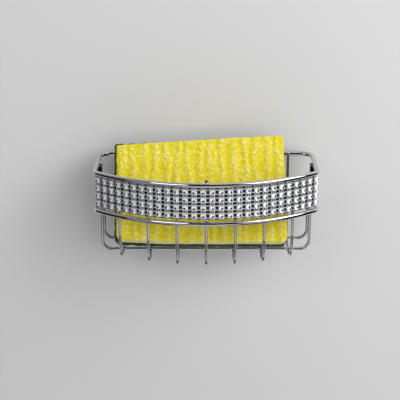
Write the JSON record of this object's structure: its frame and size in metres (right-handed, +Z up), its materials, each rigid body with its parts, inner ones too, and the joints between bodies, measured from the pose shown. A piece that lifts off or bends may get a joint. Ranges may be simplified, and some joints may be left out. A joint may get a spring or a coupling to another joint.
{
  "type": "sponge holder",
  "caption": "Wall-hung chrome wire basket with a D-shaped plan, a band of cut stones round its front, suction cups behind and a lift-out foam sponge.",
  "frame": {"origin": "on the wall, at the middle of the width and at the height of the lower ring", "axes": "+X to the right as seen from the room, +Y towards the wall, +Z up"},
  "size_m": [0.1864, 0.1103, 0.1031],
  "materials": {
    "chrome_wire": "polished plate",
    "band_strip": "dull plate",
    "settings": "bright plate",
    "crystal": "cut and polished, foil backed",
    "soft_vinyl": "clear moulded",
    "foam": "open-cell foam",
    "scouring_fibre": "bonded nylon fibre"
  },
  "bodies": {
    "basket": {"upper_ring": "chrome_wire", "lower_ring": "chrome_wire", "rib_1": "chrome_wire", "rib_2": "chrome_wire", "rib_3": "chrome_wire", "rib_4": "chrome_wire", "rib_5": "chrome_wire", "rib_6": "chrome_wire", "rib_7": "chrome_wire", "front_floor_wire": "chrome_wire", "rear_floor_wire": "chrome_wire", "band_backing": "band_strip", "stone_settings": "settings", "crystal_row_1": "crystal", "crystal_row_2": "crystal", "crystal_row_3": "crystal", "crystal_row_4": "crystal"},
    "left_cup": {"suction_cup_left": "soft_vinyl"},
    "right_cup": {"suction_cup_right": "soft_vinyl"},
    "sponge": {"sponge_foam": "foam", "scouring_pad": "scouring_fibre"}
  },
  "joints": [
    {"name": "sponge_lift", "type": "slide", "parent": "basket", "child": "sponge", "axis": [0, 0, 1], "range_m": [0, 0.09]},
    {"name": "left_cup_swivel", "type": "hinge", "parent": "basket", "child": "left_cup", "pos_m": [-0.0472, -0.01695, -0.0083], "axis": [0, 0, 1], "range_deg": [-12, 12]},
    {"name": "right_cup_swivel", "type": "hinge", "parent": "basket", "child": "right_cup", "pos_m": [0.0472, -0.01695, -0.0083], "axis": [0, 0, 1], "range_deg": [-12, 12]}
  ]
}
